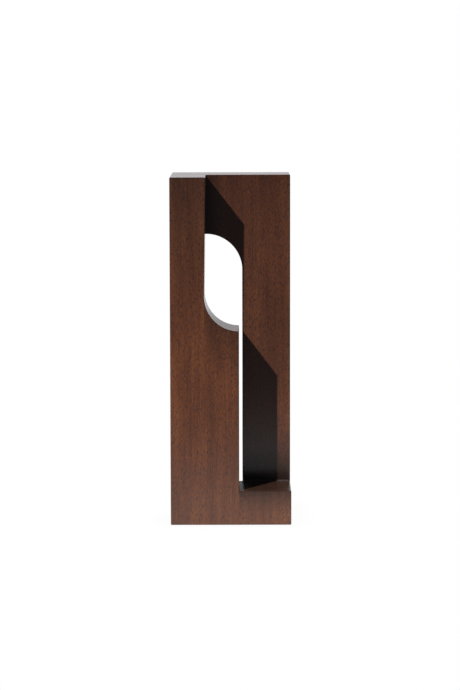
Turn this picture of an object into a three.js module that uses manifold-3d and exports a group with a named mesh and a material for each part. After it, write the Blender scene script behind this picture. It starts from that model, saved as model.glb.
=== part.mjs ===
// Headrest block of two thick boards glued face to face.
// The front board is an L: a foot, a wide column and a narrow strip above a cove.
// The rear board is an inverted L: a full-width bar over a cove and a column on the other side.
// The boards touch only at the strip's top and at the foot, where dowels pin them.
// Units are millimetres. +X is to the right, +Y to the rear, +Z up.
// The origin is at the centre of the base.

import * as THREE from 'three';
import Module from 'manifold-3d';
import { mergeVertices } from 'three/addons/utils/BufferGeometryUtils.js';

// Overall sizes
const BLOCK_WIDTH = 120;
const BLOCK_HEIGHT = 345.6;
const BOARD_THICKNESS = 60;
const GLUE_GAP = 0.3;

// Front board
const FOOT_HEIGHT = 34.3;
const COLUMN_WIDTH = 68.2;
const COLUMN_HEIGHT = 193.8;
const STRIP_TOP_WIDTH = 35.2;
const STRIP_LOW_WIDTH = 33.8;

// Rear board
const BAR_HEIGHT = 59.6;
const SLIT_WIDTH = 3.4;

// Edges
const CORNER_RADIUS = 1.5;
const FACE_EASE = 1.2;
const EASE_SEGMENTS = 2;
const CORNER_SEGMENTS = 4;
const COVE_SEGMENTS = 28;

// Dowels
const DOWEL_DIAMETER = 10;
const DOWEL_LENGTH = 60;
const DOWEL_FLUTES = 12;
const FLUTE_DEPTH = 0.4;
const FLUTE_STEPS = 4;
const DOWEL_CHAMFER = 1;
const DOWELS_PER_JOINT = 2;
const BORE_CLEARANCE = 0.3;
const BORE_END_ROOM = 1.5;
const BORE_SEGMENTS = 32;

// Places that follow from the sizes
const LEFT = -BLOCK_WIDTH / 2;
const RIGHT = BLOCK_WIDTH / 2;
const COLUMN_RIGHT = LEFT + COLUMN_WIDTH;
const FRONT_COVE_RADIUS = COLUMN_WIDTH - STRIP_LOW_WIDTH;
const FRONT_COVE_TOP = COLUMN_HEIGHT + FRONT_COVE_RADIUS;
const REAR_COLUMN_LEFT = COLUMN_RIGHT + SLIT_WIDTH;
const REAR_COVE_LEFT = LEFT + STRIP_TOP_WIDTH;
const REAR_COVE_RADIUS = REAR_COLUMN_LEFT - REAR_COVE_LEFT;
const BAR_BOTTOM = BLOCK_HEIGHT - BAR_HEIGHT;
const REAR_COVE_LOW = BAR_BOTTOM - REAR_COVE_RADIUS;
const BOARD_DEPTH = BOARD_THICKNESS - GLUE_GAP / 2;
const BORE_RADIUS = DOWEL_DIAMETER / 2 + BORE_CLEARANCE;
const BORE_DEPTH = DOWEL_LENGTH / 2 + BORE_END_ROOM;

const wasm = await Module();
wasm.setup();

/** A closed three.js geometry as a manifold solid. */
function toSolid(geometry) {
  const bare = geometry.clone();
  bare.deleteAttribute('normal');
  bare.deleteAttribute('uv');
  const merged = mergeVertices(bare, 1e-4);
  return new wasm.Manifold(new wasm.Mesh({
    numProp: 3,
    vertProperties: new Float32Array(merged.attributes.position.array),
    triVerts: new Uint32Array(merged.index.array),
  }));
}

/** A manifold solid as a three.js geometry. */
function toGeometry(solid) {
  const mesh = solid.getMesh();
  const geometry = new THREE.BufferGeometry();
  geometry.setAttribute('position', new THREE.BufferAttribute(mesh.vertProperties, 3));
  geometry.setIndex(new THREE.BufferAttribute(mesh.triVerts, 1));
  geometry.computeVertexNormals();
  return geometry;
}

/** The arc that rounds one outline corner, from where it leaves one side to where it joins the next. */
function cornerArc(before, corner, after) {
  const inward = before.clone().sub(corner).normalize();
  const onward = after.clone().sub(corner).normalize();
  const halfAngle = Math.acos(THREE.MathUtils.clamp(inward.dot(onward), -1, 1)) / 2;
  const setback = CORNER_RADIUS / Math.tan(halfAngle);
  const middle = inward.clone().add(onward).normalize();
  const centre = corner.clone().addScaledVector(middle, CORNER_RADIUS / Math.sin(halfAngle));
  const start = corner.clone().addScaledVector(inward, setback).sub(centre).angle();
  const sweep = Math.PI - 2 * halfAngle;
  const points = [];
  for (let i = 0; i <= CORNER_SEGMENTS; i += 1) {
    const angle = start + (sweep * i) / CORNER_SEGMENTS;
    points.push(new THREE.Vector2(Math.cos(angle), Math.sin(angle)).multiplyScalar(CORNER_RADIUS).add(centre));
  }
  return points;
}

/** The points of a cove, which is a quarter circle hollowed out of the board. */
function coveArc(centre, radius, startAngle) {
  const points = [];
  for (let i = 0; i <= COVE_SEGMENTS; i += 1) {
    const angle = startAngle - ((Math.PI / 2) * i) / COVE_SEGMENTS;
    points.push(new THREE.Vector2(Math.cos(angle), Math.sin(angle)).multiplyScalar(radius).add(centre));
  }
  return points;
}

/**
 * A board outline, counter-clockwise. Each entry is a point with a flag that says whether the corner
 * there is a rounded outer one.
 */
function outline(entries) {
  const points = [];
  entries.forEach(({ point, round }, i) => {
    if (round) {
      const before = entries[(i + entries.length - 1) % entries.length].point;
      const after = entries[(i + 1) % entries.length].point;
      points.push(...cornerArc(before, point, after));
    } else {
      points.push(point);
    }
  });
  return new THREE.Shape(points);
}

const outer = (x, z) => ({ point: new THREE.Vector2(x, z), round: true });
const plain = (x, z) => ({ point: new THREE.Vector2(x, z), round: false });
const along = (points) => points.map((point) => ({ point, round: false }));

/** Seen from the front: foot, column, cove, strip. */
function frontOutline() {
  const cove = coveArc(new THREE.Vector2(COLUMN_RIGHT, FRONT_COVE_TOP), FRONT_COVE_RADIUS, -Math.PI / 2);
  const columnCorner = new THREE.Vector2(COLUMN_RIGHT, COLUMN_HEIGHT);
  const pastCorner = cove.filter((point) => point.distanceTo(columnCorner) > 2 * CORNER_RADIUS);
  return outline([
    outer(LEFT, 0),
    outer(RIGHT, 0),
    outer(RIGHT, FOOT_HEIGHT),
    plain(COLUMN_RIGHT, FOOT_HEIGHT),
    outer(COLUMN_RIGHT, COLUMN_HEIGHT),
    ...along(pastCorner),
    outer(LEFT + STRIP_TOP_WIDTH, BLOCK_HEIGHT),
    outer(LEFT, BLOCK_HEIGHT),
  ]);
}

/** Seen from the front: column, full-width bar, cove. */
function rearOutline() {
  const cove = coveArc(new THREE.Vector2(REAR_COVE_LEFT, REAR_COVE_LOW), REAR_COVE_RADIUS, Math.PI / 2);
  return outline([
    outer(REAR_COLUMN_LEFT, 0),
    outer(RIGHT, 0),
    outer(RIGHT, BLOCK_HEIGHT),
    outer(LEFT, BLOCK_HEIGHT),
    outer(LEFT, BAR_BOTTOM),
    ...along(cove),
  ]);
}

/** A board standing upright: the outline lies in X and Z, and the thickness runs from frontY to the rear. */
function board(shape, frontY) {
  const geometry = new THREE.ExtrudeGeometry(shape, {
    depth: BOARD_DEPTH - 2 * FACE_EASE,
    steps: 1,
    bevelEnabled: true,
    bevelThickness: FACE_EASE,
    bevelSize: FACE_EASE,
    bevelOffset: -FACE_EASE,
    bevelSegments: EASE_SEGMENTS,
  });
  geometry.rotateX(Math.PI / 2);
  geometry.translate(0, frontY + BOARD_DEPTH - FACE_EASE, 0);
  return geometry;
}

/** Where the dowels stand in the two places where the boards meet. */
function dowelPlaces() {
  const places = [];
  for (let i = 0; i < DOWELS_PER_JOINT; i += 1) {
    const share = (i + 0.5) / DOWELS_PER_JOINT;
    places.push({
      name: `top_dowel_${i + 1}`,
      x: LEFT + STRIP_TOP_WIDTH / 2,
      z: BLOCK_HEIGHT - BAR_HEIGHT * share,
    });
    places.push({
      name: `foot_dowel_${i + 1}`,
      x: REAR_COLUMN_LEFT + (RIGHT - REAR_COLUMN_LEFT) * share,
      z: FOOT_HEIGHT / 2,
    });
  }
  return places;
}

/** A fluted dowel along Y, centred on the glue plane, with chamfered ends. */
function dowelGeometry() {
  const points = [];
  const steps = DOWEL_FLUTES * FLUTE_STEPS;
  for (let i = 0; i < steps; i += 1) {
    const angle = (2 * Math.PI * i) / steps;
    const radius = DOWEL_DIAMETER / 2 - FLUTE_DEPTH * (0.5 - 0.5 * Math.cos(angle * DOWEL_FLUTES));
    points.push(new THREE.Vector2(radius * Math.cos(angle), radius * Math.sin(angle)));
  }
  const geometry = new THREE.ExtrudeGeometry(new THREE.Shape(points), {
    depth: DOWEL_LENGTH - 2 * DOWEL_CHAMFER,
    steps: 1,
    bevelEnabled: true,
    bevelThickness: DOWEL_CHAMFER,
    bevelSize: DOWEL_CHAMFER,
    bevelOffset: -DOWEL_CHAMFER,
    bevelSegments: 1,
  });
  geometry.translate(0, 0, DOWEL_CHAMFER - DOWEL_LENGTH / 2);
  geometry.rotateX(Math.PI / 2);
  return geometry;
}

/** The round space that a dowel's two blind bores make together, on both sides of the glue plane. */
function boreTool(place) {
  const geometry = new THREE.CylinderGeometry(BORE_RADIUS, BORE_RADIUS, 2 * BORE_DEPTH, BORE_SEGMENTS);
  geometry.translate(place.x, 0, place.z);
  return toSolid(geometry);
}

/** A board with the blind bores for every dowel. */
function boredBoard(geometry) {
  let solid = toSolid(geometry);
  dowelPlaces().forEach((place) => {
    solid = solid.subtract(boreTool(place));
  });
  return toGeometry(solid);
}

function stainedWood(name, color) {
  return new THREE.MeshStandardMaterial({ name, color, roughness: 0.42, metalness: 0 });
}

function namedMesh(name, geometry, material) {
  const mesh = new THREE.Mesh(geometry, material);
  mesh.name = name;
  return mesh;
}

const group = new THREE.Group();
group.name = 'headrest';

group.add(namedMesh(
  'front_board',
  boredBoard(board(frontOutline(), -BOARD_THICKNESS)),
  stainedWood('front_board_wood', 0x633f30),
));
group.add(namedMesh(
  'rear_board',
  boredBoard(board(rearOutline(), GLUE_GAP / 2)),
  stainedWood('rear_board_wood', 0x563a30),
));

dowelPlaces().forEach((place) => {
  const beech = new THREE.MeshStandardMaterial({ name: `${place.name}_beech`, color: 0xd2b48c, roughness: 0.7 });
  const dowel = namedMesh(place.name, dowelGeometry(), beech);
  dowel.position.set(place.x, 0, place.z);
  group.add(dowel);
});

export default group;
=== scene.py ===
"""The looks of the headrest block: two dowelled boards of stained mahogany in a white studio."""

import logging
import math
from dataclasses import dataclass, field
from enum import Enum
from typing import Callable, Optional, Sequence, Union

import bmesh
import bpy
from mathutils import Matrix, Vector


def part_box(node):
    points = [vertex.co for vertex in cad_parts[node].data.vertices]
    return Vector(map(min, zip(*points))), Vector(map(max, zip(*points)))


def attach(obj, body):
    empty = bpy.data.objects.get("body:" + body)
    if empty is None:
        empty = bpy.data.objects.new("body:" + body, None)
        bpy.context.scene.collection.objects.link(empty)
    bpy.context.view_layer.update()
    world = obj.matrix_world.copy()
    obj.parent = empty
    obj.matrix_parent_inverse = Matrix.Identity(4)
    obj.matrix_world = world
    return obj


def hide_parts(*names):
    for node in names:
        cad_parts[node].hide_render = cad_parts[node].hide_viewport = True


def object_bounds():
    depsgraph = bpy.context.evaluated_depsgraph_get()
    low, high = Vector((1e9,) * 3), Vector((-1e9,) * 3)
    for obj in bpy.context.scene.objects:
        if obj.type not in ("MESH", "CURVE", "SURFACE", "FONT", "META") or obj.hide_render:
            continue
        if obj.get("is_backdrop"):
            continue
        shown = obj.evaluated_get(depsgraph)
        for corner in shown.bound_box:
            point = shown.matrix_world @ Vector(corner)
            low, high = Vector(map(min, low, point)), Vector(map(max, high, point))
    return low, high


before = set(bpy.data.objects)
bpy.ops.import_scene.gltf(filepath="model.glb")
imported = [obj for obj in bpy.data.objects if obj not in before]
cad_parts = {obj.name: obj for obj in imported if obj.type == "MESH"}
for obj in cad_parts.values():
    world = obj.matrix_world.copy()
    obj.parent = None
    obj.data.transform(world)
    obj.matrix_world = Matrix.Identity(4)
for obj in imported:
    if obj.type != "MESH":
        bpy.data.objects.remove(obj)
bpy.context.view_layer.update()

log = logging.getLogger("headrest")

MM = 0.001
NEAR = 0.1 * MM
TOUCHING = 0.01 * MM
BODY = "root"

Colour = tuple[float, float, float]
Span = tuple[float, float]
Number = Union["Value", float]


class Side(Enum):
    """Which of the two boards a piece belongs to, as the sign of its depth coordinate."""

    FRONT = -1
    REAR = 1


class Value:
    """A number or a colour in a node tree. Python's operators on a number add Math nodes."""

    def __init__(self, shader: "Shader", socket: bpy.types.NodeSocket) -> None:
        """Wraps a socket.

        Args:
            shader: The tree that the socket's node stands in.
            socket: The output socket that gives the number.
        """
        self.shader = shader
        self.socket = socket

    def __add__(self, other: Number) -> "Value":
        """The sum."""
        return self.shader.math("ADD", self, other)

    __radd__ = __add__

    def __sub__(self, other: Number) -> "Value":
        """The difference."""
        return self.shader.math("SUBTRACT", self, other)

    def __rsub__(self, other: Number) -> "Value":
        """The difference from a plain number."""
        return self.shader.math("SUBTRACT", other, self)

    def __mul__(self, other: Number) -> "Value":
        """The product."""
        return self.shader.math("MULTIPLY", self, other)

    __rmul__ = __mul__

    def __truediv__(self, other: Number) -> "Value":
        """The quotient."""
        return self.shader.math("DIVIDE", self, other)

    def __pow__(self, other: Number) -> "Value":
        """The power."""
        return self.shader.math("POWER", self, other)

    def __abs__(self) -> "Value":
        """The absolute value."""
        return self.shader.math("ABSOLUTE", self)


Input = Union[Value, float, Sequence[float]]


class Shader:
    """A node tree under construction."""

    def __init__(self, tree: bpy.types.NodeTree) -> None:
        """Empties a tree and starts building in it.

        Args:
            tree: The node tree of a material or of the world.
        """
        tree.nodes.clear()
        self.tree = tree

    def node(self, kind: str, settings: Optional[dict] = None, output: str = "", **inputs: Input) -> Value:
        """Adds a node.

        Args:
            kind: The node's type name.
            settings: Properties that are set before the sockets, such as an operation or a ramp's stops.
            output: The identifier of the output that is handed back, or nothing for the first one in use.
            **inputs: Values or links of its sockets, by identifier, with spaces written as underscores.

        Returns:
            The chosen output.
        """
        made = self.tree.nodes.new(kind)
        for name, setting in (settings or {}).items():
            if name == "stops":
                self._set_stops(made.color_ramp, setting)
            else:
                setattr(made, name, setting)
        sockets = {socket.identifier.replace(" ", "_"): socket for socket in made.inputs}
        for name, value in inputs.items():
            if isinstance(value, Value):
                self.tree.links.new(value.socket, sockets[name])
            else:
                sockets[name].default_value = value
        given = [socket for socket in made.outputs if socket.enabled and output in ("", socket.identifier)]
        return Value(self, given[0] if given else made.inputs[0])

    @staticmethod
    def _set_stops(ramp: bpy.types.ColorRamp, stops: Sequence[tuple[float, Colour]]) -> None:
        """Gives a colour ramp its stops.

        Args:
            ramp: The ramp.
            stops: The place and colour of each stop, in rising order.
        """
        while len(ramp.elements) > 1:
            ramp.elements.remove(ramp.elements[-1])
        ramp.elements[0].position = stops[0][0]
        ramp.elements[0].color = (*stops[0][1], 1.0)
        for position, colour in stops[1:]:
            ramp.elements.new(position).color = (*colour, 1.0)

    def math(self, operation: str, first: Number, second: Number = 0.0) -> Value:
        """Adds a Math node."""
        return self.node("ShaderNodeMath", {"operation": operation}, Value=first, Value_001=second)

    def millimetres(self) -> Value:
        """The place on the piece, in millimetres from the block's centre line and floor."""
        place = self.node("ShaderNodeTexCoord", output="Object")
        return self.node("ShaderNodeMapping", Vector=place, Scale=(1 / MM, 1 / MM, 1 / MM))

    def vector(self, x: Number, y: Number, z: Number) -> Value:
        """Joins three numbers to a vector."""
        return self.node("ShaderNodeCombineXYZ", X=x, Y=y, Z=z)

    def parts(self, vector: Value) -> tuple[Value, Value, Value]:
        """Splits a vector into its three numbers."""
        split = self.node("ShaderNodeSeparateXYZ", Vector=vector).socket.node
        return tuple(Value(self, socket) for socket in split.outputs)

    def noise(self, x: Number, y: Number, z: Number, detail: float = 2.0) -> Value:
        """Smooth noise from 0 to 1 whose features are about one unit of x, y and z wide."""
        return self.node("ShaderNodeTexNoise", {"noise_dimensions": "3D", "normalize": True},
                         Vector=self.vector(x, y, z), Scale=1.0, Detail=detail, Roughness=0.55)

    def grain(self, x: Number, y: Number, z: Number, size: Sequence[float], detail: float = 2.0) -> Value:
        """Smooth noise from 0 to 1 whose features are size[0] wide and size[1] long, along Z."""
        return self.noise(x / size[0], y / size[0], z / size[1], detail)

    def step(self, value: Value, low: float, high: float) -> Value:
        """A smooth step that is 0 at low and 1 at high."""
        return self.node("ShaderNodeMapRange", {"interpolation_type": "SMOOTHSTEP"},
                         Value=value, From_Min=low, From_Max=high)

    def blend(self, share: Number, first: Input, second: Input, mode: str = "MIX") -> Value:
        """Mixes two colours.

        Args:
            share: How much of the second colour shows.
            first: The colour at share 0.
            second: The colour at share 1, or the one that acts on the first.
            mode: The Mix node's blend type.

        Returns:
            The mixed colour.
        """
        plain = [value if isinstance(value, Value) else (*value, 1.0) for value in (first, second)]
        return self.node("ShaderNodeMix", {"data_type": "RGBA", "blend_type": mode, "clamp_factor": True},
                         "Result_Color", Factor_Float=share, A_Color=plain[0], B_Color=plain[1])


@dataclass(frozen=True)
class StainedMahogany:
    """Reddish-brown stained mahogany under a satin lacquer, cut with its grain along Z.

    Sizes are in millimetres. A Span is the width and length of a feature, or where a soft step starts and
    ends. A vessel row is a vessel's width, length, rarity and darkness.

    The pattern fills the board, so that each face shows the cut that it really has: pores and ribbons as
    upright flecks and bands on the long sides, and growth rings and pinpricks on the end grain.
    """

    name: str
    plan: "BlockPlan"
    shift: tuple[float, float, float]
    pith: tuple[float, float]
    ring_spacing: float = 4.6
    ring_lean: float = 0.018
    ring_length: float = 900.0
    sway_width: float = 60.0
    sway_length: float = 170.0
    sway_reach: float = 8.0
    sway_depth_share: float = 0.6
    ribbon_size: Span = (10.0, 240.0)
    streak_size: Span = (0.9, 45.0)
    fibre_size: Span = (0.5, 3.6)
    cloud_size: Span = (50.0, 90.0)
    warmth_size: Span = (0.8, 1.8)
    ring_share: float = 0.35
    ribbon_share: float = 0.50
    streak_share: float = 0.45
    fibre_share: float = 0.65
    cloud_share: float = 0.45
    tone_stops: tuple[float, float, float] = (0.18, 0.50, 0.82)
    warmth_range: Span = (0.3, 0.7)
    vessels: tuple[tuple[float, ...], ...] = ((0.92, 4.2, 0.45, 1.0), (0.62, 2.8, 0.50, 0.8))
    vessel_rim: Span = (0.20, 0.42)
    vessel_fade: float = 0.1
    vessel_ring_share: float = 0.5
    deep: Colour = (0.040, 0.0122, 0.0044)
    middle: Colour = (0.085, 0.0263, 0.0082)
    bright: Colour = (0.146, 0.0495, 0.0135)
    pore: Colour = (0.0185, 0.0105, 0.0112)
    cool_cast: Colour = (0.86, 1.0, 2.50)
    end_grain: Colour = (0.72, 0.98, 1.35)
    # Tint of the darker places; on the rear board it carries the painted shade in the corner above the foot
    # and beside the strip.
    darkening_tint: Colour = (0.10, 0.14, 0.22)
    end_facing: Span = (0.10, 0.80)
    end_vessels: float = 0.4
    end_darkening: float = 0.4
    relief_strength: float = 0.2
    relief_depth: float = 0.05
    relief_fibre: float = 0.25
    roughness: float = 0.42
    cloud_roughness: float = 0.10
    vessel_roughness: float = 0.12
    ior: float = 1.15
    coat_roughness: float = 0.21
    cut_thinning: float = 0.38
    cut_below_top: Span = (30.0, 10.0)
    darkening_thinning: float = 0.30
    darkening_range: Span = (0.40, 0.80)

    def material(self) -> bpy.types.Material:
        """Builds the finish.

        Returns:
            The material.
        """
        made = bpy.data.materials.new(self.name)
        made.use_nodes = True
        shader = Shader(made.node_tree)
        board_space = shader.millimetres()
        log_space = shader.node("ShaderNodeMapping", Vector=board_space, Location=self.shift)
        x, y, z = shader.parts(log_space)
        sway = (shader.grain(x, y, z, (self.sway_width, self.sway_length)) - 0.5) * self.sway_reach
        across = x + sway
        deep_in = y + sway * self.sway_depth_share
        rings = self._rings(shader, across, deep_in, z)
        fibre = shader.grain(across, deep_in, z, self.fibre_size)
        cloud = shader.grain(x, y, z, self.cloud_size, 3.0)
        parts = ((rings, self.ring_share), (fibre, self.fibre_share), (cloud, self.cloud_share),
                 (shader.grain(across, deep_in, z, self.ribbon_size), self.ribbon_share),
                 (shader.grain(across, deep_in, z, self.streak_size), self.streak_share))
        tone = 0.5 + sum((part - 0.5) * share for part, share in parts)
        stops = tuple(zip(self.tone_stops, (self.deep, self.middle, self.bright)))
        stain = shader.node("ShaderNodeValToRGB", {"stops": stops}, "Color", Fac=tone)
        warmth = shader.grain(x, y, z, self.warmth_size)
        cooled = shader.blend(0.5, stain, self.cool_cast, "MULTIPLY")
        tinted = shader.blend(shader.step(warmth, *self.warmth_range), stain, cooled)
        pores = self._pores(shader, across, deep_in, z, rings)

        facing = shader.parts(shader.node("ShaderNodeTexCoord", output="Normal"))[2]
        end = shader.step(abs(facing), *self.end_facing)
        filled = shader.blend(pores * (1.0 - end * (1.0 - self.end_vessels)), tinted, self.pore)
        ended = shader.blend(end, filled, self.end_grain, "MULTIPLY")
        place_x, place_y, height = shader.parts(board_space)
        # The darker places are multiplied in below; on the rear board they include painted shade in the
        # corner above the foot and beside the strip.
        full_darkening = self.darkening(shader, place_x, place_y, height)
        darkened = full_darkening * (1.0 - end * (1.0 - self.end_darkening))
        rim = self.dark_rim(shader, place_x, height)
        colour = shader.blend(shader.math("MAXIMUM", darkened, rim), ended, self.darkening_tint, "MULTIPLY")

        relief = (fibre * self.relief_fibre - pores) * (1.0 - end)
        bump = shader.node("ShaderNodeBump", Strength=self.relief_strength,
                           Distance=self.relief_depth * MM, Height=relief)
        open_pores = pores * (1.0 - end)
        gloss = (cloud - 0.5) * self.cloud_roughness + open_pores * self.vessel_roughness + self.roughness
        under_top = (self.plan.high.z / MM - below for below in self.cut_below_top)
        inside_cut = end * (1.0 - shader.step(height, *under_top))
        thin_in_cut = 1.0 - inside_cut * self.thin_lacquer(shader, place_x)
        lacquer = thin_in_cut * (1.0 - shader.step(darkened, *self.darkening_range) * self.darkening_thinning)
        surface = shader.node("ShaderNodeBsdfPrincipled", Base_Color=colour, Roughness=gloss, Normal=bump,
                              IOR=self.ior, Coat_Weight=lacquer, Coat_Roughness=self.coat_roughness)
        shader.node("ShaderNodeOutputMaterial", Surface=surface)
        return made

    def darkening(self, shader: Shader, x: Value, y: Value, z: Value) -> Value:
        """Where the board's colour is darker than elsewhere, painted shade included on the rear board.

        Args:
            shader: The tree.
            x: The place on the board, in millimetres from the block's centre.
            y: The place through the block's depth.
            z: The height.

        Returns:
            From 0 for the usual colour to 1 for the darkest.
        """
        raise NotImplementedError

    def dark_rim(self, shader: Shader, x: Value, z: Value) -> Number:
        """A thin dark line of stain along the eased edges of the cuts.

        Args:
            shader: The tree.
            x: The place on the board, in millimetres from the block's centre.
            z: The height.

        Returns:
            From 0 for none to 1 for the darkest.
        """
        return 0.0

    def thin_lacquer(self, shader: Shader, x: Value) -> Number:
        """How much lacquer is missing inside the cuts.

        Args:
            shader: The tree.
            x: The place on the board, in millimetres from the block's centre.

        Returns:
            From 0 for the full coat to 1 for none.
        """
        return self.cut_thinning

    def _rings(self, shader: Shader, across: Value, deep_in: Value, z: Value) -> Value:
        """Growth rings round the log's centre.

        Args:
            shader: The tree.
            across: The place across the board, in millimetres.
            deep_in: The place through the board's thickness.
            z: The place along the grain.

        Returns:
            From 0 in pale wood to 1 in dark wood.
        """
        side = across - self.pith[0]
        depth = deep_in - self.pith[1]
        radius = shader.math("SQRT", side * side + depth * depth) + z * self.ring_lean
        return shader.noise(radius / self.ring_spacing, 0.0, z / self.ring_length, 1.0)

    def _pores(self, shader: Shader, across: Value, deep_in: Value, z: Value, rings: Value) -> Value:
        """Short open vessels, filled dark by the stain, more of them in the dark part of a ring.

        Args:
            shader: The tree.
            across: The place across the board, in millimetres.
            deep_in: The place through the board's thickness.
            z: The place along the grain.
            rings: The growth rings.

        Returns:
            From 0 in plain wood to 1 in a vessel.
        """
        found = 0.0
        for width, length, rarity, strength in self.vessels:
            place = shader.vector(across / width, deep_in / width, z / length)
            cell = shader.node("ShaderNodeTexVoronoi", {"feature": "F1"}, "Distance",
                               Vector=place, Scale=1.0)
            tint = Value(shader, cell.socket.node.outputs["Color"])
            chance = shader.parts(tint)[0] + (rings - 0.5) * self.vessel_ring_share
            there = shader.step(chance, rarity, rarity + self.vessel_fade)
            vessel = (1.0 - shader.step(cell, *self.vessel_rim)) * there * strength
            found = shader.math("MAXIMUM", found, vessel)
        return found


@dataclass(frozen=True)
class FrontMahogany(StainedMahogany):
    """The front board's wood: darker just under each upward cut, fading down the board."""

    foot_reach: float = 30.0
    cove_reach: float = 64.0
    cove_depth: float = 0.50
    foot_depth: float = 0.62
    short_reach: float = 9.0
    short_depth: float = 0.10
    long_reach: float = 190.0
    long_depth: float = 0.44
    rim_depth: float = 0.80
    rim_start: Span = (0.02, 0.25)
    rim_end: Span = (0.9, 1.7)
    strip_margin: float = 0.2
    slit_thinning: float = 0.80

    def _places(self, shader: Shader, x: Value) -> tuple[Value, Value, Value, Value]:
        """Sorts the board by what lies above it.

        Args:
            shader: The tree.
            x: The place on the board, in millimetres from the block's centre.

        Returns:
            The height of the upward cut, and 1 or 0 for being on the strip, under the cove or on the foot.
        """
        plan = self.plan
        radius = plan.front_cove_radius / MM
        column_right = plan.column_right / MM
        strip_right = column_right - radius
        from_centre = x - column_right
        arc = shader.math("SQRT", shader.math("MAXIMUM", radius * radius - from_centre * from_centre, 0.0))
        cove_top = plan.column_height / MM + radius
        on_strip = shader.math("LESS_THAN", x, strip_right + self.strip_margin)
        on_foot = shader.math("GREATER_THAN", x, column_right)
        on_cove = 1.0 - on_strip - on_foot
        strip_top = plan.high.z / MM
        cut = on_strip * strip_top + on_cove * (cove_top - arc) + on_foot * (plan.foot_height / MM)
        return cut, on_strip, on_cove, on_foot

    def darkening(self, shader: Shader, x: Value, y: Value, z: Value) -> Value:
        """Darkest just under the strip's top, the cove and the foot's top.

        Args:
            shader: The tree.
            x: The place on the board, in millimetres from the block's centre.
            y: The place through the block's depth; not used.
            z: The height.

        Returns:
            From 0 for the usual colour to 1 for the darkest.
        """
        cut, on_strip, on_cove, on_foot = self._places(shader, x)
        foot = 1.0 - shader.step(cut - z, 0.0, self.foot_reach)
        edge = 1.0 - shader.step(cut - z, 0.0, self.short_reach)
        cove = 1.0 - shader.step(cut - z, 0.0, self.cove_reach)
        strip = 1.0 - shader.step(cut - z, 0.0, self.long_reach)
        foot_darkening = on_foot * (foot * self.foot_depth + edge * self.short_depth)
        return foot_darkening + on_cove * cove * self.cove_depth + on_strip * strip * self.long_depth

    def dark_rim(self, shader: Shader, x: Value, z: Value) -> Value:
        """The line along the front edges of the strip's top, the cove and the foot's top.

        Args:
            shader: The tree.
            x: The place on the board, in millimetres from the block's centre.
            z: The height.

        Returns:
            From 0 for none to 1 for the darkest.
        """
        below = self._places(shader, x)[0] - z
        line = shader.step(below, *self.rim_start) * (1.0 - shader.step(below, *self.rim_end))
        return line * self.rim_depth

    def thin_lacquer(self, shader: Shader, x: Value) -> Value:
        """Thin in the cove, thinnest at the bottom of the slit, and full on the rest of the foot's top.

        Args:
            shader: The tree.
            x: The place on the board, in millimetres from the block's centre.

        Returns:
            From 0 for the full coat to 1 for none.
        """
        on_foot = shader.math("GREATER_THAN", x, self.plan.column_right / MM)
        in_slit = on_foot * shader.math("LESS_THAN", x, self.plan.rear_column_left / MM)
        return (1.0 - on_foot) * self.cut_thinning + in_slit * self.slit_thinning


@dataclass(frozen=True)
class RearMahogany(StainedMahogany):
    """The rear board's wood, a little cooler, with painted shade in the corner above the foot and beside
    the strip.
    """

    cool_cast: Colour = (0.86, 1.0, 2.85)
    # The corner and strip values paint shade on the front face; the top and column values darken the colour
    # near the top and halfway up.
    corner_shade_reach: float = 68.0
    corner_shade_depth: float = 0.97
    face_skin: float = 0.5
    face_depth: float = 12.0
    beside_strip: float = 26.0
    strip_shade_depth: float = 0.72
    top_reach: float = 14.0
    top_depth: float = 0.14
    column_low: Span = (60.0, 110.0)
    column_high: Span = (150.0, 240.0)
    column_depth: float = 0.26

    def darkening(self, shader: Shader, x: Value, y: Value, z: Value) -> Value:
        """Painted shade on the front face in the corner above the foot and beside the strip, and a little
        darkening halfway up and along the top.

        Args:
            shader: The tree.
            x: The place on the board, in millimetres from the block's centre.
            y: The place through the block's depth.
            z: The height.

        Returns:
            From 0 for the usual colour to 1 for the darkest.
        """
        above_foot = z - self.plan.foot_height / MM
        from_strip = x - self.plan.rear_cove_left / MM
        on_face = 1.0 - shader.step(y, self.face_skin, self.face_depth)
        # Painted shade: the corner above the foot, and the face beside the strip.
        corner = (1.0 - shader.step(above_foot, 0.0, self.corner_shade_reach)) * on_face
        strip_shade = (1.0 - shader.step(from_strip, 0.0, self.beside_strip)) * on_face
        top = 1.0 - shader.step(self.plan.high.z / MM - z, 0.0, self.top_reach)
        over_low = shader.step(above_foot, *self.column_low)
        column = over_low * (1.0 - shader.step(above_foot, *self.column_high))
        upper = shader.math("MAXIMUM", strip_shade * self.strip_shade_depth, top * self.top_depth)
        lower = shader.math("MAXIMUM", corner * self.corner_shade_depth, column * self.column_depth)
        return shader.math("MAXIMUM", upper, lower)


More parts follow.
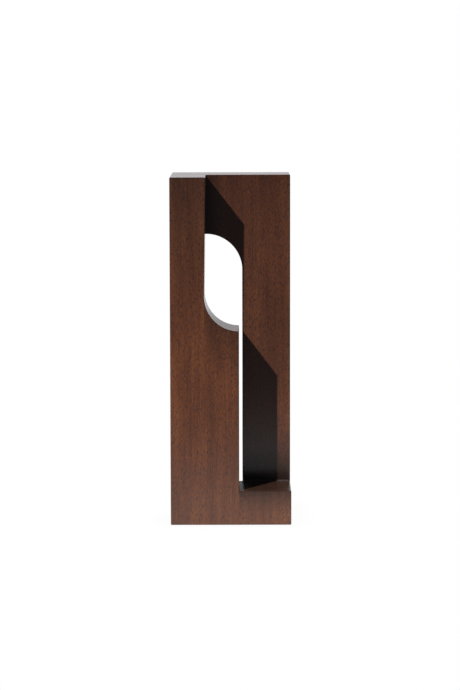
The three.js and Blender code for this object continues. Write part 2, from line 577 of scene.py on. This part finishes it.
@dataclass(frozen=True)
class BareBeech:
    """Unfinished beech of the dowels, with its grain along Y. Sizes are in millimetres."""

    name: str = "bare_beech"
    pale: Colour = (0.62, 0.44, 0.27)
    dark: Colour = (0.44, 0.27, 0.14)
    fibre_size: Span = (0.5, 9.0)
    ray_size: tuple[float, float, float] = (0.7, 2.2, 0.4)
    ray_range: Span = (0.60, 0.72)
    ray_share: float = 0.4
    roughness: float = 0.62

    def material(self) -> bpy.types.Material:
        """Builds the finish.

        Returns:
            The material.
        """
        made = bpy.data.materials.new(self.name)
        made.use_nodes = True
        shader = Shader(made.node_tree)
        x, y, z = shader.parts(shader.millimetres())
        width, length = self.fibre_size
        grain = shader.noise(x / width, y / length, z / width, 3.0)
        flecks = shader.noise(*(place / size for place, size in zip((x, y, z), self.ray_size)))
        rays = shader.step(flecks, *self.ray_range)
        colour = shader.blend(grain * (1.0 - self.ray_share) + rays * self.ray_share, self.pale, self.dark)
        bump = shader.node("ShaderNodeBump", Strength=0.4, Distance=0.05 * MM, Height=grain)
        surface = shader.node("ShaderNodeBsdfPrincipled", Base_Color=colour, Normal=bump,
                              Roughness=self.roughness + grain * 0.1)
        shader.node("ShaderNodeOutputMaterial", Surface=surface)
        return made


@dataclass(frozen=True)
class WoodGlue:
    """The thin brown film of hardened glue in the joints. Sizes are in millimetres."""

    name: str = "hardened_glue"
    amber: Colour = (0.11, 0.055, 0.020)
    brown: Colour = (0.05, 0.024, 0.011)
    streak_size: float = 3.0
    roughness: float = 0.22

    def material(self) -> bpy.types.Material:
        """Builds the finish.

        Returns:
            The material.
        """
        made = bpy.data.materials.new(self.name)
        made.use_nodes = True
        shader = Shader(made.node_tree)
        x, y, z = shader.parts(shader.millimetres())
        streaks = shader.grain(x, y, z, (self.streak_size, self.streak_size), 3.0)
        colour = shader.blend(streaks, self.amber, self.brown)
        surface = shader.node("ShaderNodeBsdfPrincipled", Base_Color=colour,
                              Roughness=self.roughness + streaks * 0.1)
        shader.node("ShaderNodeOutputMaterial", Surface=surface)
        return made


class Bench:
    """The modelling moves that the pieces share."""

    @staticmethod
    def clear() -> None:
        """Leaves edit mode and lets go of all objects."""
        if bpy.context.mode != "OBJECT":
            bpy.ops.object.mode_set(mode="OBJECT")
        bpy.ops.object.select_all(action="DESELECT")

    @staticmethod
    def settle(name: str) -> bpy.types.Object:
        """Names the active object and puts its place, turn and size into its mesh.

        Args:
            name: The object's name.

        Returns:
            The object.
        """
        piece = bpy.context.object
        piece.name = name
        piece.data.name = name
        bpy.ops.object.transform_apply(location=True, rotation=True, scale=True)
        return piece

    @classmethod
    def block(cls, name: str, low: Vector, high: Vector) -> bpy.types.Object:
        """A cuboid, to be shaped further.

        Args:
            name: The cuboid's name.
            low: Its corner with the lowest X, Y and Z.
            high: The corner opposite.

        Returns:
            The cuboid.
        """
        cls.clear()
        bpy.ops.mesh.primitive_cube_add(size=1, location=(low + high) / 2)
        bpy.context.object.scale = high - low
        return cls.settle(name)

    @classmethod
    def rod(cls, name: str, centre: Vector, radius: float, length: float, sides: int,
            turn: Sequence[float] = (math.pi / 2, 0, 0)) -> bpy.types.Object:
        """A cylinder, to be shaped further.

        Args:
            name: The cylinder's name.
            centre: Its middle.
            radius: Its radius.
            length: Its length.
            sides: How many flat sides stand for its round one.
            turn: Its turn from upright. The usual one lays it along Y.

        Returns:
            The cylinder.
        """
        cls.clear()
        bpy.ops.mesh.primitive_cylinder_add(vertices=sides, radius=radius, depth=length, location=centre,
                                            rotation=turn)
        return cls.settle(name)

    @classmethod
    def edit(cls, piece: bpy.types.Object, mode: str, test: Callable[[object], bool]) -> None:
        """Enters edit mode with the edges or faces selected that pass a test.

        Args:
            piece: The object to shape.
            mode: EDGE or FACE.
            test: Says of a bmesh edge or face whether it is selected.
        """
        cls.clear()
        piece.select_set(True)
        bpy.context.view_layer.objects.active = piece
        bpy.ops.object.mode_set(mode="EDIT")
        bpy.ops.mesh.select_mode(type=mode)
        bpy.ops.mesh.select_all(action="DESELECT")
        mesh = bmesh.from_edit_mesh(piece.data)
        mesh.normal_update()
        for part in mesh.edges if mode == "EDGE" else mesh.faces:
            if test(part):
                part.select_set(True)
        bmesh.update_edit_mesh(piece.data)

    @staticmethod
    def edge_along_y(x: float, z: float) -> Callable[[bmesh.types.BMEdge], bool]:
        """A test for the edge that runs along Y at x and z."""
        return lambda edge: all(abs(v.co.x - x) < NEAR and abs(v.co.z - z) < NEAR for v in edge.verts)

    @classmethod
    def modify(cls, piece: bpy.types.Object, kind: str, **settings: object) -> None:
        """Adds a modifier and applies it.

        Args:
            piece: The object that gets it.
            kind: The modifier's type.
            **settings: Its properties.
        """
        cls.clear()
        piece.select_set(True)
        bpy.context.view_layer.objects.active = piece
        modifier = piece.modifiers.new(kind.lower(), kind)
        for name, setting in settings.items():
            setattr(modifier, name, setting)
        bpy.ops.object.modifier_apply(modifier=modifier.name)

    @classmethod
    def cut(cls, piece: bpy.types.Object, *cutters: bpy.types.Object) -> None:
        """Takes the cutters' shapes out of a piece, and throws the cutters away.

        Args:
            piece: The object that is cut.
            *cutters: The solids to take out of it.
        """
        for cutter in cutters:
            cls.modify(piece, "BOOLEAN", operation="DIFFERENCE", solver="EXACT", object=cutter)
            bpy.data.objects.remove(cutter)

    @classmethod
    def smooth(cls, piece: bpy.types.Object, angle: float) -> None:
        """Shades a piece smooth except across its sharp edges, and keeps its flats flat.

        Args:
            piece: The object to shade.
            angle: The angle from which an edge counts as sharp, in radians.
        """
        cls.clear()
        piece.select_set(True)
        bpy.context.view_layer.objects.active = piece
        bpy.ops.object.shade_smooth_by_angle(angle=angle)
        cls.modify(piece, "WEIGHTED_NORMAL", keep_sharp=True, weight=100)

    @staticmethod
    def dress(piece: bpy.types.Object, finish: bpy.types.Material, slot: str, *nodes: str) -> None:
        """Gives a piece its finish and its place in the frame.

        Args:
            piece: The finished object.
            finish: Its material.
            slot: The record's material slot; not used.
            *nodes: The CAD nodes that it stands for.
        """
        piece.data.materials.clear()
        piece.data.materials.append(finish)
        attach(piece, BODY)
        if nodes:
            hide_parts(*nodes)
        log.info("%s: %d faces, finish %s", piece.name, len(piece.data.polygons), finish.name)


@dataclass
class BlockPlan:
    """The block's sizes that its boxes don't give, in metres, and the places that follow from them."""

    foot_height: float = 34.3 * MM
    column_width: float = 68.2 * MM
    column_height: float = 193.8 * MM
    strip_top_width: float = 35.2 * MM
    strip_low_width: float = 33.8 * MM
    bar_height: float = 59.6 * MM
    slit_width: float = 3.4 * MM
    low: Vector = field(default_factory=lambda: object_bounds()[0])
    high: Vector = field(default_factory=lambda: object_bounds()[1])

    @property
    def column_right(self) -> float:
        """X of the front column's right face."""
        return self.low.x + self.column_width

    @property
    def front_cove_radius(self) -> float:
        """The cove that leads from the strip down to the column's corner."""
        return self.column_width - self.strip_low_width

    @property
    def rear_column_left(self) -> float:
        """X of the rear column's left face."""
        return self.column_right + self.slit_width

    @property
    def rear_cove_left(self) -> float:
        """X where the rear cove leaves the bar, in line with the strip's right face."""
        return self.low.x + self.strip_top_width

    @property
    def rear_cove_radius(self) -> float:
        """The cove that leads from the bar down to the rear column."""
        return self.rear_column_left - self.rear_cove_left

    @property
    def bar_bottom(self) -> float:
        """Z of the rear bar's underside."""
        return self.high.z - self.bar_height

    def top_joint(self) -> tuple[Vector, Vector]:
        """The X and Z corners of the place where the strip meets the bar."""
        return (Vector((self.low.x, 0, self.bar_bottom)), Vector((self.rear_cove_left, 0, self.high.z)))

    def foot_joint(self) -> tuple[Vector, Vector]:
        """The X and Z corners of the place where the foot meets the rear column."""
        return (Vector((self.rear_column_left, 0, self.low.z)), Vector((self.high.x, 0, self.foot_height)))

    def in_joint(self, point: Vector, reach: float) -> bool:
        """Says whether a point lies where the boards meet.

        Args:
            point: The point.
            reach: How far outside a joint it still counts as lying in it.

        Returns:
            True in or near one of the two joints.
        """
        for low, high in (self.top_joint(), self.foot_joint()):
            if (low.x - reach < point.x < high.x + reach) and (low.z - reach < point.z < high.z + reach):
                return True
        return False


@dataclass
class Board:
    """One of the two boards. The kinds of board differ in what is cut out of them.

    The sizes are in metres and the angles in radians.
    """

    plan: BlockPlan
    node: str
    side: Side
    slot: str
    edge_ease: float = 1.0 * MM
    joint_ease: float = 0.4 * MM
    joint_reach: float = 0.9 * MM
    ease_segments: int = 5
    outer_angle: float = math.radians(50)
    smooth_angle: float = math.radians(35)
    cove_segments: int = 56
    overcut: float = 10 * MM
    glue_line: float = 0.1 * MM
    bore_clearance: float = 0.3 * MM
    bore_end_room: float = 1.5 * MM
    bore_sides: int = 48

    def waste(self) -> list[bpy.types.Object]:
        """The solids that are cut out of the blank."""
        raise NotImplementedError

    def build(self, dowels: Sequence[str]) -> bpy.types.Object:
        """Saws the board out of its blank, eases its edges and drills it.

        Args:
            dowels: The CAD nodes of the dowels that it holds.

        Returns:
            The board.
        """
        low, high = self._blank()
        piece = Bench.block(self.node + "_wood", low, high)
        Bench.cut(piece, *self.waste())
        self._split_at_joints(piece)
        self._ease_edges(piece)
        Bench.cut(piece, *(self._bore(node) for node in dowels))
        Bench.smooth(piece, self.smooth_angle)
        return piece

    def _blank(self) -> tuple[Vector, Vector]:
        """Finds the sawn blank's corners.

        Returns:
            The corners of its box, with its inner face half a glue line from the block's middle.
        """
        low, high = (corner.copy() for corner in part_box(self.node))
        if self.side is Side.FRONT:
            high.y = -self.glue_line / 2
        else:
            low.y = self.glue_line / 2
        return low, high

    def _split_at_joints(self, piece: bpy.types.Object) -> None:
        """Puts edges where the joints begin, so that the easing can change there.

        Args:
            piece: The board.
        """
        plan = self.plan
        for place, normal in ((plan.rear_cove_left, (1, 0, 0)), (plan.rear_column_left, (1, 0, 0)),
                              (plan.bar_bottom, (0, 0, 1)), (plan.foot_height, (0, 0, 1))):
            Bench.edit(piece, "FACE", lambda face: True)
            bpy.ops.mesh.bisect(plane_co=Vector(normal) * place, plane_no=normal)
        Bench.clear()

    def _ease_edges(self, piece: bpy.types.Object) -> None:
        """Rounds the outer edges by hand-sanding's amount, and less where the boards meet.

        Args:
            piece: The board.
        """
        joint_face = max if self.side is Side.FRONT else min
        glue_y = joint_face(corner[1] for corner in piece.bound_box)

        def outer(edge: bmesh.types.BMEdge) -> bool:
            """An edge that stands out."""
            return len(edge.link_faces) == 2 and edge.calc_face_angle_signed() > self.outer_angle

        def at_joint(edge: bmesh.types.BMEdge) -> bool:
            """Finds the outer edges that the other board meets.

            Args:
                edge: An edge.

            Returns:
                True if it is one of them.
            """
            middle = (edge.verts[0].co + edge.verts[1].co) / 2
            on_glue = all(abs(vert.co.y - glue_y) < TOUCHING for vert in edge.verts)
            return outer(edge) and on_glue and self.plan.in_joint(middle, self.joint_reach)

        Bench.edit(piece, "EDGE", lambda edge: outer(edge) and not at_joint(edge))
        bpy.ops.transform.edge_bevelweight(value=1.0)
        Bench.edit(piece, "EDGE", at_joint)
        bpy.ops.transform.edge_bevelweight(value=self.joint_ease / self.edge_ease)
        Bench.modify(piece, "BEVEL", limit_method="WEIGHT", width=self.edge_ease,
                     segments=self.ease_segments, profile=0.5, use_clamp_overlap=False)

    def _bore(self, dowel: str) -> bpy.types.Object:
        """The round space for a dowel, with room for glue round it and at its ends.

        Args:
            dowel: The dowel's CAD node.

        Returns:
            The cutter.
        """
        low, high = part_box(dowel)
        radius = (high.x - low.x) / 2 + self.bore_clearance
        length = high.y - low.y + 2 * self.bore_end_room
        return Bench.rod("bore", (low + high) / 2, radius, length, self.bore_sides)

    def _through(self, name: str, left: float, right: float, bottom: float, top: float) -> bpy.types.Object:
        """A cutter that runs right through the board's thickness.

        Args:
            name: The cutter's name.
            left: Its lowest X.
            right: Its highest X.
            bottom: Its lowest Z.
            top: Its highest Z.

        Returns:
            The cutter.
        """
        low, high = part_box(self.node)
        return Bench.block(name, Vector((left, low.y - self.overcut, bottom)),
                           Vector((right, high.y + self.overcut, top)))

    def _round_along_y(self, cutter: bpy.types.Object, x: float, z: float, radius: float) -> None:
        """Rounds one edge of a cutter, which makes a cove in the board.

        Args:
            cutter: The cutter.
            x: Where the edge runs along Y.
            z: The height at which it runs.
            radius: The cove's radius.
        """
        Bench.edit(cutter, "EDGE", Bench.edge_along_y(x, z))
        bpy.ops.mesh.bevel(offset=radius, segments=self.cove_segments, profile=0.5, affect="EDGES")
        Bench.clear()


class FrontBoard(Board):
    """The L: foot, column, cove and strip."""

    def waste(self) -> list[bpy.types.Object]:
        """Cuts out the space beside the column, and the wider one beside the strip.

        Returns:
            The two cutters.
        """
        plan = self.plan
        right = plan.high.x + self.overcut
        top = plan.high.z + self.overcut
        strip_low = plan.low.x + plan.strip_low_width
        beside_column = self._through("beside_column", plan.column_right, right, plan.foot_height, top)
        beside_strip = self._through("beside_strip", strip_low, right, plan.column_height, top)
        self._round_along_y(beside_strip, strip_low, plan.column_height, plan.front_cove_radius)
        self._lean_strip(beside_strip, strip_low, top)
        return [beside_column, beside_strip]

    def _lean_strip(self, cutter: bpy.types.Object, x: float, top: float) -> None:
        """Leans the strip's right face, so that the strip is wider at the top than above the cove.

        Args:
            cutter: The cutter that clears the space beside the strip.
            x: X of its left face.
            top: Z of its upper end.
        """
        plan = self.plan
        cove_top = plan.column_height + plan.front_cove_radius
        slope = (plan.strip_top_width - plan.strip_low_width) / (plan.high.z - cove_top)
        Bench.edit(cutter, "EDGE", Bench.edge_along_y(x, top))
        bpy.ops.transform.translate(value=(slope * (top - cove_top), 0, 0))
        Bench.clear()


class RearBoard(Board):
    """The inverted L: bar, cove and column."""

    def waste(self) -> list[bpy.types.Object]:
        """Cuts out the space under the bar.

        Returns:
            The cutter.
        """
        plan = self.plan
        under_bar = self._through("under_bar", plan.low.x - self.overcut, plan.rear_column_left,
                                  plan.low.z - self.overcut, plan.bar_bottom)
        self._round_along_y(under_bar, plan.rear_column_left, plan.bar_bottom, plan.rear_cove_radius)
        return [under_bar]


@dataclass
class Dowels:
    """The fluted pins that hold the boards together."""

    nodes: Sequence[str]
    sides: int = 24
    chamfer: float = 1.0 * MM
    flute_wall: float = 0.15 * MM
    flute_depth: float = 0.4 * MM
    least_face: float = 0.0001 * MM
    smooth_angle: float = math.radians(40)

    def build(self) -> list[bpy.types.Object]:
        """Models one dowel and copies it to each place.

        Returns:
            The dowels, in the order of their nodes.
        """
        low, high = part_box(self.nodes[0])
        centre = (low + high) / 2
        first = Bench.rod(self.nodes[0] + "_pin", centre, (high.x - low.x) / 2, high.y - low.y, self.sides)
        ends = (low.y, high.y)

        def rim(edge: bmesh.types.BMEdge) -> bool:
            """An edge of an end face."""
            return any(all(abs(v.co.y - end) < TOUCHING for v in edge.verts) for end in ends)

        Bench.edit(first, "EDGE", rim)
        bpy.ops.mesh.bevel(offset=self.chamfer, segments=2, profile=0.5, affect="EDGES")
        sector = 2 * math.pi / self.sides

        def every_second_side(face: bmesh.types.BMFace) -> bool:
            """Finds the long side faces that get a flute.

            Args:
                face: A face.

            Returns:
                True if it is one of them.
            """
            turn = math.atan2(face.normal.z, face.normal.x) / sector
            long_side = abs(face.normal.y) < 0.1 and face.calc_area() > self.least_face
            return long_side and math.floor(turn) % 2 == 0

        Bench.edit(first, "FACE", every_second_side)
        bpy.ops.mesh.inset(thickness=self.flute_wall, depth=-self.flute_depth, use_individual=True)
        Bench.smooth(first, self.smooth_angle)
        return [first, *(self._copy(first, centre, node) for node in self.nodes[1:])]

    @staticmethod
    def _copy(first: bpy.types.Object, centre: Vector, node: str) -> bpy.types.Object:
        """Copies the first dowel, with a mesh of its own, to another node's place.

        Args:
            first: The first dowel.
            centre: Its middle.
            node: The other dowel's CAD node.

        Returns:
            The copy.
        """
        Bench.clear()
        first.select_set(True)
        bpy.context.view_layer.objects.active = first
        bpy.ops.object.duplicate()
        low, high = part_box(node)
        bpy.ops.transform.translate(value=(low + high) / 2 - centre)
        return Bench.settle(node + "_pin")


@dataclass
class GlueLines:
    """The films of glue between the boards, pierced by the dowels."""

    plan: BlockPlan
    thickness: float = 0.08 * MM
    inset: float = 0.6 * MM
    clear: float = 0.02 * MM
    corner: float = 4 * MM
    corner_segments: int = 8
    bead_size: float = 0.9 * MM
    bead_clear: float = 0.01 * MM
    bead_hollow: float = 0.94
    bead_end: float = 1.5
    bead_sides: int = 32
    hole_sides: int = 48
    smooth_angle: float = math.radians(35)

    def build(self, name: str, joint: tuple[Vector, Vector], dowels: Sequence[str]) -> bpy.types.Object:
        """One film, set back from the joint's edges, with rounded corners.

        Args:
            name: The film's name.
            joint: The joint's X and Z corners.
            dowels: The CAD nodes of the dowels that pass through it.

        Returns:
            The film.
        """
        low = Vector((joint[0].x + self.inset, -self.thickness / 2, joint[0].z + self.inset))
        high = Vector((joint[1].x - self.inset, self.thickness / 2, joint[1].z - self.inset))
        film = Bench.block(name, low, high)

        def through(edge: bmesh.types.BMEdge) -> bool:
            """An edge that runs through the film's thickness."""
            return abs(edge.verts[0].co.y - edge.verts[1].co.y) > self.thickness / 2

        Bench.edit(film, "EDGE", through)
        bpy.ops.mesh.bevel(offset=self.corner, segments=self.corner_segments, profile=0.5, affect="EDGES")
        Bench.clear()
        for dowel in dowels:
            pin_low, pin_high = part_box(dowel)
            radius = (pin_high.x - pin_low.x) / 2 + self.clear
            length = pin_high.y - pin_low.y
            middle = (pin_low + pin_high) / 2
            Bench.cut(film, Bench.rod("pin_hole", middle, radius, length, self.hole_sides))
        return film

    def bead(self, name: str) -> bpy.types.Object:
        """The thin hollow bead of glue that was pressed out along the corner above the foot.

        Args:
            name: The bead's name.

        Returns:
            The bead.
        """
        plan = self.plan
        size = self.bead_size
        wall = self.thickness / 2
        low = Vector((plan.rear_column_left, wall - size, plan.foot_height + self.bead_clear))
        high = Vector((plan.high.x - self.bead_end * size, wall, low.z + size))
        bead = Bench.block(name, low, high)
        along_x = (0, math.pi / 2, 0)
        middle = Vector(((low.x + high.x) / 2, low.y, high.z))
        length = 2 * (high.x - low.x)
        radius = self.bead_hollow * size
        Bench.cut(bead, Bench.rod("scoop", middle, radius, length, self.bead_sides, along_x))
        Bench.smooth(bead, self.smooth_angle)
        return bead


@dataclass
class Studio:
    """The white surroundings, the key light and the camera.

    Angles are in degrees, the lens and the sensor in millimetres, and the lamp's power in watts.
    """

    azimuth: float = 0.167
    elevation: float = 6.555
    roll: float = -0.127
    distance: float = 2.4290
    target: Vector = field(default_factory=lambda: Vector((-0.87 * MM, 0, 173.5 * MM)))
    lens: float = 125.217391
    sensor: float = 36
    clip: Span = (0.05, 50.0)
    key_from: Vector = field(default_factory=lambda: Vector((-0.446, -0.688, 0.587)))
    key_distance: float = 10
    block_middle: Vector = field(default_factory=lambda: Vector((0, 0, 0.17)))
    key_aim: Vector = field(default_factory=lambda: Vector((0, 0, -0.28)))
    key_power: float = 8300
    key_radius: float = 0.085
    key_cone: float = 8.24
    key_blend: float = 1.0
    floor_size: float = 12
    behind_block: Span = (0.05, 0.75)
    sweep_rise: Span = (0.02, 0.55)
    sweep_low: Colour = (0.82, 0.785, 0.80)
    sweep_high: Colour = (0.48, 0.48, 0.50)
    wall_rise: Span = (0.05, 0.35)
    room: Colour = (0.085, 0.087, 0.095)
    low_wall: Colour = (0.125, 0.128, 0.140)
    fill_spread: Span = (-0.6, 0.6)
    fill_left: Colour = (0.008, 0.008, 0.009)
    fill_right: Colour = (0.036, 0.036, 0.041)
    pool_edge: Span = (0.10, 0.90)
    far_behind: Span = (0.25, 1.0)
    floor_far: Colour = (0.100, 0.102, 0.108)
    floor_near: Colour = (0.90, 0.89, 0.89)
    bounce_edge: Span = (0.12, 0.65)
    bounce_far: Colour = (0.022, 0.022, 0.023)
    bounce_near: Colour = (0.40, 0.40, 0.40)
    contact_reach: float = 0.03
    contact_shade: Colour = (0.94, 0.94, 0.935)
    white: Colour = (1.0, 1.0, 1.0)

    def build(self) -> None:
        """Sets up everything round the block."""
        scene = bpy.context.scene
        scene.view_settings.view_transform = "Standard"
        self._world(scene)
        self._floor()
        self._key()
        self._camera(scene)

    def _world(self, scene: bpy.types.Scene) -> None:
        """White to the camera, and a bright sweep behind and a dim room in front as light.

        Args:
            scene: The scene that gets it.
        """
        world = bpy.data.worlds.new("studio")
        world.use_nodes = True
        scene.world = world
        shader = Shader(world.node_tree)
        across, depth, up = shader.parts(shader.node("ShaderNodeTexCoord", output="Generated"))
        sweep = shader.blend(shader.step(up, *self.sweep_rise), self.sweep_low, self.sweep_high)
        glossy_room = shader.blend(shader.step(up, *self.wall_rise), self.low_wall, self.room)
        soft_room = shader.blend(shader.step(across, *self.fill_spread), self.fill_left, self.fill_right)
        soft = shader.node("ShaderNodeLightPath", output="Is Diffuse Ray")
        room = shader.blend(soft, glossy_room, soft_room)
        light = shader.blend(shader.step(depth, *self.behind_block), room, sweep)
        seen = shader.node("ShaderNodeLightPath", output="Is Camera Ray")
        colour = shader.blend(seen, light, self.white)
        surface = shader.node("ShaderNodeBackground", Color=colour, Strength=1.0)
        shader.node("ShaderNodeOutputWorld", Surface=surface)

    def _floor(self) -> None:
        """A plain white table top drawn as a glow: to the rays that light the block it gives off a painted
        pool of light round the block, and to the camera it is white with a faint painted contact shadow.
        """
        Bench.clear()
        bpy.ops.mesh.primitive_plane_add(size=self.floor_size)
        floor = Bench.settle("floor")
        made = bpy.data.materials.new("white_table")
        made.use_nodes = True
        shader = Shader(made.node_tree)
        x, y, z = shader.parts(shader.node("ShaderNodeTexCoord", output="Object"))
        reach = shader.math("SQRT", x * x + y * y)
        pool = 1.0 - shader.step(reach, *self.pool_edge)
        bright = shader.math("MAXIMUM", pool, shader.step(y, *self.far_behind))
        mirrored = shader.blend(bright, self.floor_far, self.floor_near)
        scattered = shader.blend(shader.step(reach, *self.bounce_edge), self.bounce_near, self.bounce_far)
        soft = shader.node("ShaderNodeLightPath", output="Is Diffuse Ray")
        light = shader.blend(soft, mirrored, scattered)
        contact = shader.node("ShaderNodeAmbientOcclusion", {"samples": 8}, "AO",
                              Distance=self.contact_reach)
        paper = shader.blend(contact, self.contact_shade, self.white)
        seen = shader.node("ShaderNodeLightPath", output="Is Camera Ray")
        colour = shader.blend(seen, light, paper)
        surface = shader.node("ShaderNodeEmission", Color=colour, Strength=1.0)
        shader.node("ShaderNodeOutputMaterial", Surface=surface)
        floor.data.materials.append(made)
        floor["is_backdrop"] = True

    def _key(self) -> None:
        """A small far lamp from the upper left, whose pool of light fades towards the block's top."""
        Bench.clear()
        place = self.block_middle + self.key_from.normalized() * self.key_distance
        bpy.ops.object.light_add(type="SPOT", location=place)
        lamp = bpy.context.object
        lamp.name = "key_light"
        lamp.rotation_euler = (place - self.key_aim).to_track_quat("Z", "Y").to_euler()
        lamp.data.energy = self.key_power
        lamp.data.shadow_soft_size = self.key_radius
        lamp.data.spot_size = math.radians(self.key_cone)
        lamp.data.spot_blend = self.key_blend

    def _camera(self, scene: bpy.types.Scene) -> None:
        """A long lens from the front, a little above the block.

        Args:
            scene: The scene that gets it.
        """
        Bench.clear()
        bpy.ops.object.camera_add()
        camera = bpy.context.object
        camera.name = "studio_camera"
        azimuth, elevation, roll = (math.radians(v) for v in (self.azimuth, self.elevation, self.roll))
        ahead = Vector((-math.sin(azimuth) * math.cos(elevation), math.cos(azimuth) * math.cos(elevation),
                        -math.sin(elevation)))
        level = Vector((math.cos(azimuth), math.sin(azimuth), 0))
        upright = level.cross(ahead)
        right = level * math.cos(roll) + upright * math.sin(roll)
        up = upright * math.cos(roll) - level * math.sin(roll)
        turn = Matrix((right, up, -ahead)).transposed()
        camera.matrix_world = Matrix.Translation(self.target - ahead * self.distance) @ turn.to_4x4()
        camera.data.sensor_width = self.sensor
        camera.data.lens = self.lens
        camera.data.clip_start = self.clip[0]
        camera.data.clip_end = self.clip[1]
        scene.camera = camera


TOP_DOWELS = ("top_dowel_1", "top_dowel_2")
FOOT_DOWELS = ("foot_dowel_1", "foot_dowel_2")


def main() -> None:
    logging.basicConfig(level=logging.INFO, format="%(message)s")
    plan = BlockPlan()
    Studio().build()
    all_dowels = TOP_DOWELS + FOOT_DOWELS

    front = FrontBoard(plan, "front_board", Side.FRONT, "front_wood")
    front_wood = FrontMahogany("front_mahogany", plan, shift=(13.0, 40.0, 7.0), pith=(24.0, 230.0))
    Bench.dress(front.build(all_dowels), front_wood.material(), front.slot, front.node)

    rear = RearBoard(plan, "rear_board", Side.REAR, "rear_wood")
    rear_wood = RearMahogany("rear_mahogany", plan, shift=(310.0, -75.0, 520.0), pith=(352.0, 190.0))
    Bench.dress(rear.build(all_dowels), rear_wood.material(), rear.slot, rear.node)

    beech = BareBeech().material()
    for node, pin in zip(all_dowels, Dowels(all_dowels).build()):
        Bench.dress(pin, beech, "dowel_beech", node)

    glue = WoodGlue().material()
    films = GlueLines(plan)
    Bench.dress(films.build("top_glue_line", plan.top_joint(), TOP_DOWELS), glue, "rear_wood")
    Bench.dress(films.build("foot_glue_line", plan.foot_joint(), FOOT_DOWELS), glue, "rear_wood")
    bead_glue = WoodGlue("stained_glue", amber=(0.046, 0.034, 0.034), brown=(0.026, 0.019, 0.019))
    Bench.dress(films.bead("foot_glue_bead"), bead_glue.material(), "rear_wood")


if __name__ == "__main__":
    main()
